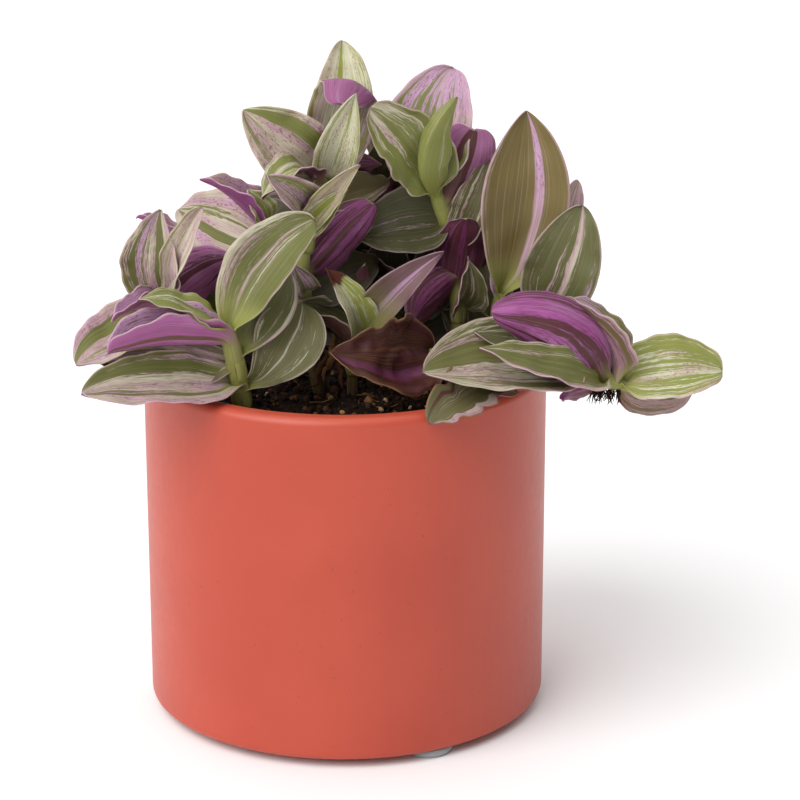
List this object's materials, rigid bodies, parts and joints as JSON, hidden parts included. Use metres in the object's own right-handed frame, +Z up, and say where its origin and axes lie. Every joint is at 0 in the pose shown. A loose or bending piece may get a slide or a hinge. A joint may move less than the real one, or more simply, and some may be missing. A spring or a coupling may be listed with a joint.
{
  "type": "potted houseplant",
  "caption": "Small trailing houseplant with folded, striped, pointed leaves on thick stems, growing in a straight-sided glazed pot on clear bumpers.",
  "frame": {"origin": "middle of the footprint of the whole object, pot and overhanging leaves, on the surface the bumpers stand on", "axes": "+Z up along the pot's axis, +X to the right and -Y towards the viewer in the picture's view; the trailing shoot hangs over the rim towards +X and -Y"},
  "size_m": [0.1535, 0.11, 0.1664],
  "materials": {
    "glazed_clay": "satin coral red glaze",
    "clear_bumper": "clear soft polymer, smooth",
    "potting_mix": "dark, moist, crumbly, matte",
    "leafy_shoot": "satin leaf, green striped with cream, pink and purple",
    "withered_leaf": "dry, wrinkled, maroon brown"
  },
  "bodies": {
    "root": {"pot": "glazed_clay", "bumper_front": "clear_bumper", "bumper_right": "clear_bumper", "bumper_left": "clear_bumper", "soil": "potting_mix", "front_left_shoot": "leafy_shoot", "left_shoot": "leafy_shoot", "mid_left_shoot": "leafy_shoot", "tall_left_shoot": "leafy_shoot", "tall_right_shoot": "leafy_shoot", "tall_leaf_shoot": "leafy_shoot", "right_shoot": "leafy_shoot", "trailing_shoot": "leafy_shoot", "withered_leaf": "withered_leaf", "young_shoot": "leafy_shoot", "back_left_shoot": "leafy_shoot", "back_mid_left_shoot": "leafy_shoot", "back_middle_shoot": "leafy_shoot", "back_mid_right_shoot": "leafy_shoot", "back_right_shoot": "leafy_shoot", "inner_shoot": "leafy_shoot", "low_shoot": "leafy_shoot"}
  },
  "joints": []
}
